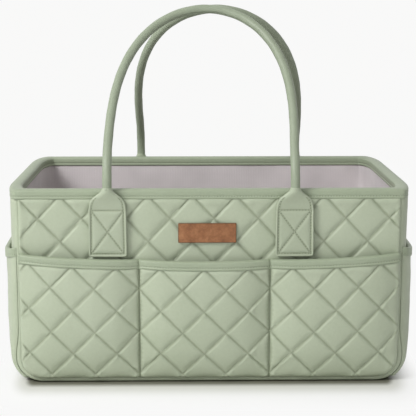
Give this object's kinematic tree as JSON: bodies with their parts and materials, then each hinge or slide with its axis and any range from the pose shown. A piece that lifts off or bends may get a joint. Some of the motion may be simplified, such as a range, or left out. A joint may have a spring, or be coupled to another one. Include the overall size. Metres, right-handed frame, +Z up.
{
  "type": "diaper caddy",
  "caption": "Quilted leather diaper caddy: an open rectangular tub with outer pockets on every side, rolled carrying handles on sewn tabs, and a divider insert that lifts out.",
  "frame": {"origin": "on the standing surface under the middle of the base", "axes": "+X along the length to the right, -Y out of the front with the patch, +Z up"},
  "size_m": [0.3934, 0.2654, 0.3488],
  "materials": {
    "leather": "soft grained sage green leather, satin",
    "binding": "folded sage green leather tape, satin",
    "board": "plain stiffener board",
    "lining": "smooth woven lining, warm grey",
    "divider": "padded cloth, warm grey",
    "divider_binding": "folded tape",
    "rope": "twisted cotton",
    "label": "bare brown leather patch"
  },
  "bodies": {
    "caddy": {"front_panel": "leather", "back_panel": "leather", "gusset": "leather", "front_pocket": "leather", "back_pocket": "leather", "left_pocket": "leather", "right_pocket": "leather", "front_left_tab": "leather", "front_right_tab": "leather", "back_left_tab": "leather", "back_right_tab": "leather", "rim_binding": "binding", "front_pocket_binding": "binding", "back_pocket_binding": "binding", "left_pocket_binding": "binding", "right_pocket_binding": "binding", "front_board": "board", "back_board": "board", "left_board": "board", "right_board": "board", "base_board": "board", "lining": "lining", "label": "label"},
    "front_handle": {"front_handle_cover": "leather", "front_handle_core": "rope"},
    "back_handle": {"back_handle_cover": "leather", "back_handle_core": "rope"},
    "divider_insert": {"left_divider": "divider", "right_divider": "divider", "middle_divider": "divider", "left_divider_binding": "divider_binding", "right_divider_binding": "divider_binding", "middle_divider_binding": "divider_binding"}
  },
  "joints": [
    {"name": "front_handle_swing", "type": "hinge", "parent": "caddy", "child": "front_handle", "pos_m": [0, -0.1306, 0.185], "axis": [1, 0, 0], "range_deg": [0, 175]},
    {"name": "back_handle_swing", "type": "hinge", "parent": "caddy", "child": "back_handle", "pos_m": [0, 0.1306, 0.185], "axis": [-1, 0, 0], "range_deg": [0, 175]},
    {"name": "insert_lift", "type": "slide", "parent": "caddy", "child": "divider_insert", "axis": [0, 0, 1], "range_m": [0, 0.16]}
  ]
}
